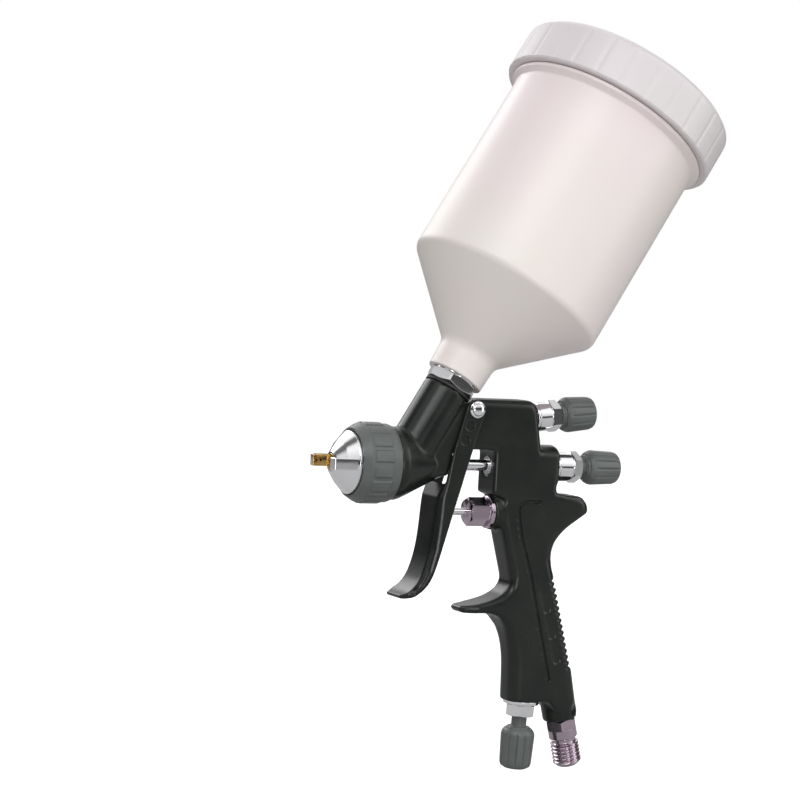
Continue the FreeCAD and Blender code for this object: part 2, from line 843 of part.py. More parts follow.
def air_valve_stem():
    """Rod that the trigger pushes, with a domed front end."""
    tip = -21.2 - air_valve_boss_x
    return turned(
        air_valve,
        (tip, 0),
        (tip + 0.25, 0.9),
        (tip + 0.9, air_valve_stem_radius),
        (poppet_start + poppet_length + 4.0, air_valve_stem_radius),
        (poppet_start + poppet_length + 4.0, 0),
    )


def air_valve_poppet():
    return rod(air_valve, poppet_start, poppet_start + poppet_length, air_valve_bore - 0.8, air_valve_stem_radius)


def air_valve_spring():
    return coil(air_valve, poppet_start + poppet_length, chamber_end, 3.6, 0.5, 7)


# ---- air inlet ----


def air_inlet_connector():
    """Male connector: hexagon, collar, neck and the plain crest of its thread."""
    collar_end = inlet_hex_length + inlet_collar_length
    outside = turned(
        inlet,
        (-10.0, 0),
        (-10.0, bushing_thread_radius),
        (0.4, bushing_thread_radius),
        (0.4, 5.0),
        (inlet_hex_length, 5.0),
        (inlet_hex_length, inlet_collar_radius),
        (collar_end - 0.5, inlet_collar_radius),
        (collar_end, inlet_collar_radius - 0.5),
        (collar_end + 0.2, 5.3),
        (inlet_thread_start - 0.6, 5.3),
        (inlet_thread_start, inlet_thread_radius),
        (inlet_thread_start + inlet_thread_length, inlet_thread_radius),
        (inlet_end - 0.6, inlet_thread_radius - 1.2),
        (inlet_end, inlet_thread_radius - 2.0),
        (inlet_end, 0),
    )
    solid = outside.fuse(hex_nut(inlet, 0, inlet_hex_length, inlet_hex_flats))
    return solid.cut(rod(inlet, -11.0, inlet_end + 1, inlet_bore))


# ---- cup ----


def adapter_washer():
    return rod(cup_axis, feed_boss_top, feed_boss_top + adapter_washer_length, adapter_washer_radius, 7.0)


def cup_adapter():
    """Hexagon fitting between the body and the cup's threaded neck."""
    seat = feed_boss_top + adapter_washer_length
    outside = turned(
        cup_axis,
        (feed_boss_top - 9.0, 0),
        (feed_boss_top - 9.0, 7.0),
        (seat, 7.0),
        (seat, 9.0),
        (adapter_top, 9.0),
        (adapter_top, adapter_thread_radius - 0.8),
        (adapter_top + 1.0, adapter_thread_radius),
        (adapter_top + adapter_thread_length, adapter_thread_radius),
        (adapter_top + adapter_thread_length, 0),
    )
    solid = outside.fuse(hex_nut(cup_axis, seat, adapter_top, adapter_hex_flats, 1.0))
    return solid.cut(rod(cup_axis, feed_boss_top - 10.0, adapter_top + adapter_thread_length + 1, adapter_bore))


def paint_filter():
    """Strainer basket that stands on the adapter inside the cup."""
    wall = 0.8
    basket = turned(
        cup_axis,
        (filter_base, adapter_bore),
        (filter_base, adapter_thread_radius - 1.0),
        (filter_base + 1.2, adapter_thread_radius - 1.0),
        (filter_base + 1.2, 7.6),
        (filter_base + filter_height, 6.0),
        (filter_base + filter_height, 0),
        (filter_base + filter_height - wall, 0),
        (filter_base + filter_height - wall, 6.0 - wall),
        (filter_base + 1.2, 7.6 - wall),
        (filter_base + 1.2, adapter_bore),
    )
    windows = []
    for index in range(3):
        window = Part.makeBox(4.0, 20.0, filter_height - 6.0, Vector(-2.0, -10.0, filter_base + 3.0))
        window.rotate(Vector(0, 0, 0), Vector(0, 0, 1), 60.0 * index)
        windows.append(cup_axis.place(window))
    return basket.cut(windows)


def paint_cup():
    """Thin-walled cup: threaded neck, cone, straight part and rim collar."""
    neck_inside = adapter_thread_radius + running_gap
    neck = neck_inside + 2.4
    inside_radius = cup_radius - cup_wall
    floor_step = cup_wall * 1.15
    collar_start = cup_top - rim_collar_height
    outside = [
        (cup_bottom, neck_inside),
        (cup_bottom, neck),
        (cup_cone_start, neck + 0.5),
        (cup_cylinder_start, cup_radius),
        (collar_start, cup_radius),
        (collar_start, cup_radius + rim_collar),
        (cup_top - rim_collar_height + 1.6, cup_radius + rim_collar),
        (cup_top - rim_collar_height + 1.6, cup_radius + 0.6),
        (cup_top, cup_radius + 0.6),
    ]
    inside = [
        (cup_top, inside_radius),
        (cup_cylinder_start + floor_step, inside_radius),
        (cup_cone_start + floor_step, neck_inside),
    ]
    return turned(cup_axis, *(outside + inside))


def lid_gasket():
    return rod(cup_axis, cup_top, cup_top + 1.4, cup_radius + 0.2, cup_radius - cup_wall - 1.6)


def cup_lid():
    """Screw lid with fine grip lines round its skirt."""
    skirt_inside = cup_radius + 0.6 + running_gap
    lid = turned(
        cup_axis,
        (lid_start, skirt_inside),
        (lid_start, lid_radius),
        (lid_top - 3.4, lid_radius),
        (lid_top - 1.2, lid_radius - 1.0),
        (lid_top, lid_radius - 3.4),
        (lid_top, lid_radius - 6.0),
        (lid_top - 1.6, lid_radius - 7.0),
        (lid_top - 1.6, 0),
        (lid_top - 1.6 - lid_wall, 0),
        (lid_top - 1.6 - lid_wall, 38.0),
        (lid_under, 38.0),
        (lid_under, skirt_inside),
    )
    flutes = []
    for index in range(lid_flutes):
        angle = 2 * math.pi * index / lid_flutes
        reach = lid_radius + 1.0 - lid_flute_depth
        flute = Part.makeCylinder(
            1.0, lid_height - 5.0, Vector(reach * math.cos(angle), reach * math.sin(angle), lid_start - 1.0)
        )
        flutes.append(cup_axis.place(flute))
    return lid.cut(flutes + [vent_axis.place(Part.makeCylinder(vent_radius + running_gap, 20.0, Vector(0, 0, -10)))])


def lid_vent_plug():
    """Push-in plug of the lid's air vent."""
    return turned(
        vent_axis,
        (-lid_wall - 1.2, 0),
        (-lid_wall - 1.2, vent_radius - 0.6),
        (-lid_wall, vent_radius),
        (side_gap / 2, vent_radius),
        (side_gap / 2, 5.0),
        (1.3, 5.0),
        (1.3, 0),
    )


NODES = [
    gun_body, fluid_tip, air_baffle, air_cap, cap_clip, air_cap_ring,
    fluid_needle, needle_sleeve, needle_collar, needle_packing, packing_nut, sleeve_bushing,
    needle_spring, needle_spring_seat, fluid_bushing, fluid_knob,
    fan_bushing, fan_knob, fan_plunger, fan_seal,
    adjust_bushing, adjust_knob, adjust_plunger, adjust_seal,
    trigger, trigger_stud, trigger_screw,
    air_valve_washer, air_valve_nut, air_valve_stem, air_valve_poppet, air_valve_spring,
    air_inlet_connector, adapter_washer, cup_adapter, paint_filter,
    paint_cup, lid_gasket, cup_lid, lid_vent_plug,
]


def main():
    os.makedirs("parts", exist_ok=True)
    for make in NODES:
        shape = make()
        shape.translate(-origin)
        shape.exportStep("parts/%s.step" % make.__name__)
        print("%-22s %2d solid, %9.1f mm3, valid %s" % (
            make.__name__, len(shape.Solids), shape.Volume, shape.isValid()))


main()
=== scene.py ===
"""HVLP gravity-feed spray gun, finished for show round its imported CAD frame.

Pieces are drawn in millimetres about the nozzle: X runs back from the air cap to the rear
knobs, Z is up, and the gun is the same on both sides of Y = 0. A turned piece is drawn along
Z first and then laid on its own axis. settle() puts each piece in the frame, in metres.
"""
import math

import bmesh
import bpy
from mathutils import Matrix, Vector


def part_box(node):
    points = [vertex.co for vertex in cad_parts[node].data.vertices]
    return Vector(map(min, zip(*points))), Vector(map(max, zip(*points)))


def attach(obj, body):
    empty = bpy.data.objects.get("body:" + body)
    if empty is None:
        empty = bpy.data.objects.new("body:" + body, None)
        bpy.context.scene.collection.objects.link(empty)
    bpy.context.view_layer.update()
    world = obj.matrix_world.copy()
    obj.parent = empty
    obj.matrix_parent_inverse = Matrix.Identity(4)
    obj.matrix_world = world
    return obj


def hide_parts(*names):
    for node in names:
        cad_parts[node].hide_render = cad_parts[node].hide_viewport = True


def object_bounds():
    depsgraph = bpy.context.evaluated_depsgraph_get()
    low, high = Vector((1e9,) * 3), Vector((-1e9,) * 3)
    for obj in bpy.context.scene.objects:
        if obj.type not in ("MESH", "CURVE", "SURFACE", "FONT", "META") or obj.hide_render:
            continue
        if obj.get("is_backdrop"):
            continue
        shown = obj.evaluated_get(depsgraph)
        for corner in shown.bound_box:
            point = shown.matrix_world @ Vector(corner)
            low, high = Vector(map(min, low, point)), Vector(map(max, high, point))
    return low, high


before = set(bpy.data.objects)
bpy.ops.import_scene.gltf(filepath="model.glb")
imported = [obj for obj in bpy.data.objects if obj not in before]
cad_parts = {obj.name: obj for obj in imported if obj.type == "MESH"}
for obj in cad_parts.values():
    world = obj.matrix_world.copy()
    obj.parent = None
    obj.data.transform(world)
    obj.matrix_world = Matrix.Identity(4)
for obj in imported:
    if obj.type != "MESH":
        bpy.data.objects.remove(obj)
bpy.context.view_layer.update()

# ---- where things are ----
needle_low, needle_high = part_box("fluid_needle")
needle_tail = 58.0
nozzle_point = Vector((needle_high.x - needle_tail / 1000, 0, (needle_low.z + needle_high.z) / 2))
to_frame = Matrix.Translation(nozzle_point) @ Matrix.Scale(0.001, 4)
from_frame = to_frame.inverted()


def axis(x, z, lean):
    """A line in the gun's middle plane, leaning from +Z towards +X by so many degrees."""
    return Matrix.Translation((x, 0, z)) @ Matrix.Rotation(math.radians(lean), 4, "Y")


def across(x, z, side=-1):
    """A line square to the gun's middle plane, pointing to one side of it."""
    return Matrix.Translation((x, 0, z)) @ Matrix.Rotation(-side * math.pi / 2, 4, "X")


nozzle = axis(0, 0, 90)
fluid = axis(38.5, 0, 90)
fan = axis(26.6, 22.3, 84.5)
adjust = axis(29.4, -107.4, 182.5)
inlet = axis(50.9, -116.4, 166)
air_valve = axis(6.6, -21.1, 90)
cup = axis(-38.0, 0, 31)
stud = across(-7.5, 25.4)

half_width = 8.2
arm_outside = 10.1
ring_front = -64.0
ring_back = -46.1
cap_face = -73.0


# ---- materials ----


def node_group(name, inputs, outputs):
    """An empty shader group with its named sockets."""
    group = bpy.data.node_groups.new(name, "ShaderNodeTree")
    for label, kind, value in inputs:
        socket = group.interface.new_socket(label, in_out="INPUT", socket_type=kind)
        socket.default_value = value
    for label, kind in outputs:
        group.interface.new_socket(label, in_out="OUTPUT", socket_type=kind)
    return group


def mottled_group():
    """Slow drift between two colours, with roughness that drifts along with it."""
    group = node_group(
        "mottled",
        [
            ("Colour", "NodeSocketColor", (0.5, 0.5, 0.5, 1)),
            ("Second Colour", "NodeSocketColor", (0.5, 0.5, 0.5, 1)),
            ("Size", "NodeSocketFloat", 40.0),
            ("Low Roughness", "NodeSocketFloat", 0.3),
            ("High Roughness", "NodeSocketFloat", 0.4),
        ],
        [("Colour", "NodeSocketColor"), ("Roughness", "NodeSocketFloat")],
    )
    nodes, links = group.nodes, group.links
    given = nodes.new("NodeGroupInput")
    result = nodes.new("NodeGroupOutput")
    place = nodes.new("ShaderNodeTexCoord")
    drift = nodes.new("ShaderNodeTexNoise")
    drift.inputs["Detail"].default_value = 3.0
    spread = nodes.new("ShaderNodeMapRange")
    spread.inputs["From Min"].default_value = 0.35
    spread.inputs["From Max"].default_value = 0.65
    colour = nodes.new("ShaderNodeMix")
    colour.data_type = "RGBA"
    rough = nodes.new("ShaderNodeMapRange")
    rough.inputs["From Min"].default_value = 0.3
    rough.inputs["From Max"].default_value = 0.7
    links.new(place.outputs["Object"], drift.inputs["Vector"])
    links.new(given.outputs["Size"], drift.inputs["Scale"])
    links.new(drift.outputs["Fac"], spread.inputs["Value"])
    links.new(spread.outputs["Result"], colour.inputs["Factor"])
    links.new(given.outputs["Colour"], colour.inputs["A"])
    links.new(given.outputs["Second Colour"], colour.inputs["B"])
    links.new(drift.outputs["Fac"], rough.inputs["Value"])
    links.new(given.outputs["Low Roughness"], rough.inputs["To Min"])
    links.new(given.outputs["High Roughness"], rough.inputs["To Max"])
    links.new(colour.outputs["Result"], result.inputs["Colour"])
    links.new(rough.outputs["Result"], result.inputs["Roughness"])
    return group


def grain_group():
    """Height of a fine skin: orange peel on paint, pebbled grain on moulded plastic."""
    group = node_group(
        "fine grain",
        [("Size", "NodeSocketFloat", 1500.0), ("Depth", "NodeSocketFloat", 0.5)],
        [("Height", "NodeSocketFloat")],
    )
    nodes, links = group.nodes, group.links
    given = nodes.new("NodeGroupInput")
    result = nodes.new("NodeGroupOutput")
    place = nodes.new("ShaderNodeTexCoord")
    peel = nodes.new("ShaderNodeTexNoise")
    peel.inputs["Detail"].default_value = 2.0
    height = nodes.new("ShaderNodeMath")
    height.operation = "MULTIPLY"
    links.new(place.outputs["Object"], peel.inputs["Vector"])
    links.new(given.outputs["Size"], peel.inputs["Scale"])
    links.new(peel.outputs["Fac"], height.inputs[0])
    links.new(given.outputs["Depth"], height.inputs[1])
    links.new(height.outputs["Value"], result.inputs["Height"])
    return group


def smudge_group():
    """Handling marks on polished metal: roughness goes up a little in soft patches."""
    group = node_group(
        "handling marks",
        [
            ("Clean", "NodeSocketFloat", 0.05),
            ("Marked", "NodeSocketFloat", 0.14),
            ("Size", "NodeSocketFloat", 180.0),
        ],
        [("Roughness", "NodeSocketFloat")],
    )
    nodes, links = group.nodes, group.links
    given = nodes.new("NodeGroupInput")
    result = nodes.new("NodeGroupOutput")
    place = nodes.new("ShaderNodeTexCoord")
    patches = nodes.new("ShaderNodeTexNoise")
    patches.inputs["Detail"].default_value = 4.0
    level = nodes.new("ShaderNodeMapRange")
    level.inputs["From Min"].default_value = 0.45
    level.inputs["From Max"].default_value = 0.75
    links.new(place.outputs["Object"], patches.inputs["Vector"])
    links.new(given.outputs["Size"], patches.inputs["Scale"])
    links.new(patches.outputs["Fac"], level.inputs["Value"])
    links.new(given.outputs["Clean"], level.inputs["To Min"])
    links.new(given.outputs["Marked"], level.inputs["To Max"])
    links.new(level.outputs["Result"], result.inputs["Roughness"])
    return group


mottled = mottled_group()
fine_grain = grain_group()
handling_marks = smudge_group()


def new_material(name):
    material = bpy.data.materials.new(name)
    material.use_nodes = True
    return material, material.node_tree.nodes, material.node_tree.links


def placed_group(nodes, group, **values):
    node = nodes.new("ShaderNodeGroup")
    node.node_tree = group
    for label, value in values.items():
        node.inputs[label.replace("_", " ")].default_value = value
    return node


def bump_from(nodes, links, grain, shader, distance):
    bump = nodes.new("ShaderNodeBump")
    bump.inputs["Distance"].default_value = distance
    bump.inputs["Strength"].default_value = 1.0
    links.new(grain.outputs["Height"], bump.inputs["Height"])
    links.new(bump.outputs["Normal"], shader.inputs["Normal"])


def coated(name, colour, second, roughness, patch, grain_size, grain_depth, specular=0.5, metallic=0.0):
    """Paint, plastic or rubber: two close colours, drifting gloss and a fine skin."""
    material, nodes, links = new_material(name)
    shader = nodes["Principled BSDF"]
    shader.inputs["Specular IOR Level"].default_value = specular
    shader.inputs["Metallic"].default_value = metallic
    look = placed_group(nodes, mottled, Colour=(*colour, 1), Second_Colour=(*second, 1), Size=patch,
                        Low_Roughness=roughness[0], High_Roughness=roughness[1])
    links.new(look.outputs["Colour"], shader.inputs["Base Color"])
    links.new(look.outputs["Roughness"], shader.inputs["Roughness"])
    grain = placed_group(nodes, fine_grain, Size=grain_size, Depth=grain_depth)
    bump_from(nodes, links, grain, shader, 0.0001)
    return material


def polished(name, colour, clean, marked, grain_size=900.0, grain_depth=0.02):
    """Plated or turned metal with faint handling marks."""
    material, nodes, links = new_material(name)
    shader = nodes["Principled BSDF"]
    shader.inputs["Base Color"].default_value = (*colour, 1)
    shader.inputs["Metallic"].default_value = 1.0
    marks = placed_group(nodes, handling_marks, Clean=clean, Marked=marked, Size=160.0)
    links.new(marks.outputs["Roughness"], shader.inputs["Roughness"])
    grain = placed_group(nodes, fine_grain, Size=grain_size, Depth=grain_depth)
    bump_from(nodes, links, grain, shader, 0.0001)
    return material


black_coat = coated("black_coat", (0.010, 0.013, 0.011), (0.014, 0.017, 0.014),
                    (0.20, 0.28), 55.0, 1400.0, 0.22, 0.30)
trigger_coat = coated("trigger_coat", (0.009, 0.011, 0.010), (0.013, 0.015, 0.013),
                      (0.20, 0.27), 60.0, 1400.0, 0.18, 0.36)
grey_moulding = coated("grey_moulding", (0.088, 0.099, 0.094), (0.108, 0.118, 0.112),
                       (0.36, 0.46), 90.0, 1800.0, 0.35, 0.5)
milky_moulding = coated("milky_moulding", (0.80, 0.695, 0.715), (0.765, 0.72, 0.68),
                        (0.30, 0.40), 9.0, 700.0, 0.12, 0.5)
lid_moulding = coated("lid_moulding", (0.69, 0.66, 0.65), (0.67, 0.62, 0.65),
                      (0.34, 0.44), 14.0, 900.0, 0.15, 0.5)
black_rubber = coated("black_rubber", (0.012, 0.012, 0.012), (0.018, 0.018, 0.018),
                      (0.5, 0.7), 200.0, 1500.0, 0.4)
white_seal = coated("white_seal", (0.80, 0.80, 0.78), (0.84, 0.83, 0.80), (0.4, 0.5), 200.0, 1500.0, 0.2)
strainer_nylon = coated("strainer_nylon", (0.70, 0.72, 0.75), (0.76, 0.77, 0.80),
                        (0.35, 0.5), 200.0, 2200.0, 0.5)
chrome = polished("chrome", (0.86, 0.86, 0.88), 0.05, 0.10)
rosy_chrome = polished("rosy_chrome", (0.52, 0.43, 0.50), 0.10, 0.20)
bright_steel = polished("bright_steel", (0.62, 0.62, 0.63), 0.18, 0.30, 2400.0, 0.10)
brass = polished("brass", (0.66, 0.43, 0.15), 0.16, 0.28, 2000.0, 0.06)
# painted shade: near-black for the walls inside the air-jet bores, standing in for the shade down the small
# holes
jet_bore_painted_shade = coated("jet_bore_painted_shade", (0.004, 0.004, 0.004), (0.006, 0.006, 0.006),
                  (0.6, 0.7), 300.0, 1500.0, 0.1, 0.2)


# ---- shapes ----


def softened(corners, steps=5):
    """Rounds a profile. A corner is (distance, radius) or (distance, radius, rounding)."""
    points = []
    for index, corner in enumerate(corners):
        here = Vector(corner[:2])
        rounding = corner[2] if len(corner) > 2 else 0
        if not rounding:
            points.append(here)
            continue
        to_last = Vector(corners[index - 1][:2]) - here
        to_next = Vector(corners[(index + 1) % len(corners)][:2]) - here
        back = rounding / math.tan(to_last.angle(to_next) / 2)
        back = min(back, 0.48 * to_last.length, 0.48 * to_next.length)
        start = here + to_last.normalized() * back
        end = here + to_next.normalized() * back
        for step in range(steps + 1):
            t = step / steps
            points.append(start * (1 - t) ** 2 + here * 2 * t * (1 - t) + end * t * t)
    return points


def turned(corners, steps=96):
    """Solid turned from a closed profile, along Z."""
    bm = bmesh.new()
    loop = [bm.verts.new((point.y, 0, point.x)) for point in softened(corners)]
    edges = [bm.edges.new((loop[i - 1], loop[i])) for i in range(len(loop))]
    bmesh.ops.spin(bm, geom=loop + edges, cent=(0, 0, 0), axis=(0, 0, 1), angle=2 * math.pi,
                   steps=steps, use_merge=True)
    bmesh.ops.remove_doubles(bm, verts=bm.verts, dist=0.0005)
    stray = [edge for edge in bm.edges if not edge.link_faces]
    bmesh.ops.delete(bm, geom=stray, context="EDGES")
    bmesh.ops.recalc_face_normals(bm, faces=bm.faces)
    return bm


def six_flats(bm, start, end, flats, rim):
    """Turns the stretch outside the rim into a hexagon with its corners taken off."""
    for vert in bm.verts:
        reach = math.hypot(vert.co.x, vert.co.y)
        if reach < rim + 0.01 or not start - 0.01 < vert.co.z < end + 0.01:
            continue
        turn = (math.atan2(vert.co.x, vert.co.y) + math.pi / 6) % (math.pi / 3) - math.pi / 6
        corner = flats / 2 / math.cos(turn)
        vert.co.x *= corner / reach
        vert.co.y *= corner / reach
        lift = max(0.0, corner - rim) * 0.5
        vert.co.z += lift if vert.co.z < (start + end) / 2 else -lift
    return bm


def eased(bm, width, sharper_than=28, segments=2):
    """Takes the sharp edges off."""
    limit = math.radians(sharper_than)
    edges = [edge for edge in bm.edges if len(edge.link_faces) == 2 and edge.calc_face_angle() > limit]
    bmesh.ops.bevel(bm, geom=edges, offset=width, offset_type="OFFSET", segments=segments,
                    profile=0.5, affect="EDGES", clamp_overlap=True, material=-1)
    return bm


def grooved(bm, count, start, end, outside, depth, half_angle, fade):
    """Presses straight grooves along the outside of a turned piece."""
    pitch = 2 * math.pi / count
    for vert in bm.verts:
        reach = math.hypot(vert.co.x, vert.co.y)
        if reach < outside or not start <= vert.co.z <= end:
            continue
        turn = abs((math.atan2(vert.co.y, vert.co.x) + pitch / 2) % pitch - pitch / 2)
        if turn >= math.radians(half_angle):
            continue
        ends = min(1.0, (vert.co.z - start) / fade, (end - vert.co.z) / fade)
        press = depth * ends * (0.5 + 0.5 * math.cos(math.pi * turn / math.radians(half_angle)))
        vert.co.x *= 1 - press / reach
        vert.co.y *= 1 - press / reach
    return bm


def block(low, high):
    """Rectangular block between two corners."""
    bm = bmesh.new()
    bmesh.ops.create_cube(bm, size=1.0)
    size = Vector(high) - Vector(low)
    bmesh.ops.scale(bm, vec=size, verts=bm.verts)
    bmesh.ops.translate(bm, vec=(Vector(high) + Vector(low)) / 2, verts=bm.verts)
    return bm


def moved(bm, matrix):
    bmesh.ops.transform(bm, matrix=matrix, verts=bm.verts)
    return bm


def workpiece(bm, name="workpiece"):
    """A loose object made of a bmesh, which is then used up."""
    mesh = bpy.data.meshes.new(name)
    bm.to_mesh(mesh)
    bm.free()
    item = bpy.data.objects.new(name, mesh)
    bpy.context.scene.collection.objects.link(item)
    return item


def taken_back(item):
    """The bmesh of a loose object with its modifiers applied. The object is removed."""
    bm = bmesh.new()
    bm.from_object(item, bpy.context.evaluated_depsgraph_get())
    mesh = item.data
    bpy.data.objects.remove(item)
    bpy.data.meshes.remove(mesh)
    return bm


def cut_out(bm, *tools):
    """Cuts tool solids out of a solid."""
    item = workpiece(bm)
    blades = [workpiece(tool, "blade") for tool in tools]
    for blade in blades:
        step = item.modifiers.new("step", "BOOLEAN")
        step.operation = "DIFFERENCE"
        step.solver = "EXACT"
        step.object = blade
    result = taken_back(item)
    for blade in blades:
        mesh = blade.data
        bpy.data.objects.remove(blade)
        bpy.data.meshes.remove(mesh)
    return result


def settle(bm, name, body, material, slot, *nodes, place=None):
    """Puts a piece on its axis, into the frame and on its body, in place of its CAD nodes."""
    moved(bm, to_frame @ place if place else to_frame)
    for face in bm.faces:
        face.smooth = True
    for edge in bm.edges:
        edge.smooth = len(edge.link_faces) != 2 or edge.calc_face_angle() < math.radians(38)
    piece = workpiece(bm, name)
    for each in material if isinstance(material, list) else [material]:
        piece.data.materials.append(each)
    even = piece.modifiers.new("even shading", "WEIGHTED_NORMAL")
    even.keep_sharp = True
    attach(piece, body)
    if nodes:
        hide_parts(*nodes)
    return piece


# ---- castings ----


def near(line, x, z):
    """Nearest place on a line of (x, z, radius): distance, depth to its right, way in, radius."""
    best = None
    for a, b in zip(line, line[1:]):
        run_x, run_z = b[0] - a[0], b[1] - a[1]
        length = math.hypot(run_x, run_z)
        share = ((x - a[0]) * run_x + (z - a[1]) * run_z) / length**2
        share = min(1.0, max(0.0, share))
        off_x, off_z = x - a[0] - share * run_x, z - a[1] - share * run_z
        distance = math.hypot(off_x, off_z)
        if best is None or distance < best[0]:
            side = off_x * run_z - off_z * run_x
            depth = distance if side > 0 else -distance
            way_in = (run_z / length, -run_x / length)
            best = (distance, depth, way_in, a[2] + share * (b[2] - a[2]))
    return best


def skin(node, grid):
    """A casting's surface as one even skin, in millimetres about the nozzle."""
    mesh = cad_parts[node].data.copy()
    mesh.transform(from_frame)
    item = bpy.data.objects.new("skin", mesh)
    bpy.context.scene.collection.objects.link(item)
    even = item.modifiers.new("even skin", "REMESH")
    even.mode = "VOXEL"
    even.voxel_size = grid
    return taken_back(item)


def round_off(bm, line, half):
    """Rounds the two long edges that run along a line, with the solid on the line's right."""
    widest = max(point[2] for point in line)
    for vert in bm.verts:
        if abs(vert.co.y) < half - widest:
            continue
        distance, depth, way_in, radius = near(line, vert.co.x, vert.co.z)
        from_front = radius - depth
        from_middle = abs(vert.co.y) - (half - radius)
        if distance > radius or from_front <= 0 or from_middle <= 0 or from_front > radius + 0.4:
            continue
        shrink = max(from_front, from_middle) / math.hypot(from_front, from_middle)
        push = from_front * (1 - shrink)
        vert.co.x += way_in[0] * push
        vert.co.z += way_in[1] * push
        vert.co.y = math.copysign(half - radius + from_middle * shrink, vert.co.y)


def smoothed(bm, times, factor=0.5):
    for _ in range(times):
        bmesh.ops.smooth_vert(bm, verts=bm.verts, factor=factor, use_axis_x=True,
                              use_axis_y=True, use_axis_z=True)
    return bm


def finer(bm, line, reach, side, cuts=1):
    """Divides the skin near a line, wherever it is further than side from the middle plane."""
    close = {
        vert
        for vert in bm.verts
        if abs(vert.co.y) > side and near(line, vert.co.x, vert.co.z)[0] < reach
    }
    edges = [edge for edge in bm.edges if edge.verts[0] in close and edge.verts[1] in close]
    bmesh.ops.subdivide_edges(bm, edges=edges, cuts=cuts, use_grid_fill=True)


def pressed(bm, line, width, depth, side):
    """Presses a line into both flat sides, or raises it where the depth is negative."""
    for vert in bm.verts:
        if abs(vert.co.y) < side:
            continue
        share = near(line, vert.co.x, vert.co.z)[0] / (width / 2)
        if share < 1:
            shape = min(1.0, 2.2 * (1 - share**2))
            vert.co.y -= math.copysign(depth * shape, vert.co.y)


rear_edge = [
    (37.4, 2.0, 0.8), (37.4, -11.6, 0.9), (47.5, -12.8, 1.8), (53.4, -15.0, 2.4), (55.0, -18.2, 2.6),
    (53.0, -22.0, 2.6), (48.3, -25.2, 3.0), (41.6, -30.9, 3.6), (38.4, -36.5, 4.2), (38.0, -42.0, 4.6),
    (40.2, -50.0, 4.6), (46.3, -71.0, 4.4), (52.1, -92.2, 4.6), (56.6, -108.9, 7.0),
]
top_edge = [
    (-12.2, 30.0, 2.6), (20.0, 30.2, 3.8), (23.6, 29.2, 3.2), (25.4, 25.8, 2.0), (28.9, 3.0, 0.8),
]
grip_edge = [
    (20.4, -107.4, 6.0), (19.9, -92.0, 6.0), (18.5, -81.0, 5.6), (15.9, -73.5, 4.4), (12.6, -69.0, 2.4),
    (8.0, -66.9, 1.7), (2.0, -66.4, 1.6), (-4.8, -66.4, 1.5), (-7.0, -65.8, 1.2), (-7.7, -64.4, 1.2),
    (-6.6, -63.1, 1.2), (-2.6, -62.7, 1.5), (4.2, -61.3, 1.8), (12.0, -58.4, 2.6), (16.4, -54.4, 3.6),
    (16.7, -49.5, 4.2), (10.9, -28.0, 3.6), (10.9, -20.0, 2.0),
]
side_line = [
    (28.8, -15.6, 0), (22.4, -15.7, 0), (20.0, -16.3, 0), (18.5, -17.6, 0), (17.9, -20.1, 0),
    (20.4, -32.8, 0), (25.8, -48.2, 0), (31.8, -71.3, 0), (38.7, -97.2, 0),
]


grip_back = [(40.2, -50.0, 0), (46.3, -71.0, 0), (52.1, -92.2, 0)]
relief_bars = [
    [(33.4, -57.0, 0), (35.6, -64.6, 0)],
    [(36.7, -68.4, 0), (39.1, -76.6, 0)],
    [(40.2, -80.4, 0), (42.4, -88.0, 0)],
]


def ribbed(bm, line, ribs, depth, reach):
    """Presses cross grooves along a line down the casting's back, fading out onto its sides."""
    start, end = Vector(line[0][:2]), Vector(line[-1][:2])
    along = (end - start).normalized()
    length = (end - start).length
    for vert in bm.verts:
        share = (Vector((vert.co.x, vert.co.z)) - start).dot(along) / length
        if not 0 < share < 1:
            continue
        distance, _, way_in, _ = near(line, vert.co.x, vert.co.z)
        if distance > reach:
            continue
        wave = 0.5 - 0.5 * math.cos(2 * math.pi * ribs * share)
        press = depth * wave**1.5 * (1 - (distance / reach) ** 2)
        vert.co.x += way_in[0] * press
        vert.co.z += way_in[1] * press


body_grid, lever_grid = 0.76, 0.42
flat_side = 7.6
groove_width, groove_depth = 1.7, 0.8
ribs, rib_depth, rib_reach = 15, 1.0, 6.0
bar_width, bar_height = 4.4, 0.4


def casting():
    bm = skin("gun_body", body_grid)
    for line in (rear_edge, top_edge, grip_edge):
        round_off(bm, line, half_width)
    smoothed(bm, 5)
    finer(bm, side_line, 1.5, flat_side, 2)
    pressed(bm, side_line, groove_width, groove_depth, flat_side)
    finer(bm, grip_back, 5.0, 0.0)
    ribbed(bm, grip_back, ribs, rib_depth, rib_reach)
    for bar in relief_bars:
        finer(bm, bar, 2.8, flat_side)
        pressed(bm, bar, bar_width, -bar_height, flat_side)
    return bm


settle(casting(), "body_casting", "root", black_coat, "body_coat", "gun_body")

lever_edge = [
    (-39.4, -57.9, 0.6), (-36.0, -56.4, 2.0), (-31.6, -52.6, 3.4), (-28.4, -46.0, 4.2),
    (-26.2, -37.0, 4.4),
    (-24.9, -26.0, 4.2), (-23.6, -14.0, 3.4), (-20.6, -7.0, 1.6), (-17.6, 7.0, 0.5), (-12.4, 25.6, 0.5),
]


def lever():
    bm = skin("trigger", lever_grid)
    round_off(bm, lever_edge, arm_outside)
    smoothed(bm, 3)
    dimples = []
    for x, z in ((-10.4, 18.1), (-12.4, 11.7)):
        for side in (-1, 1):
            dimple = turned([(arm_outside - 0.6, 0), (arm_outside - 0.6, 2.2), (arm_outside + 2, 2.2),
                             (arm_outside + 2, 0)], 40)
            dimples.append(moved(dimple, across(x, z, side)))
    return cut_out(bm, *dimples)


settle(lever(), "trigger_lever", "trigger", trigger_coat, "trigger_coat", "trigger")

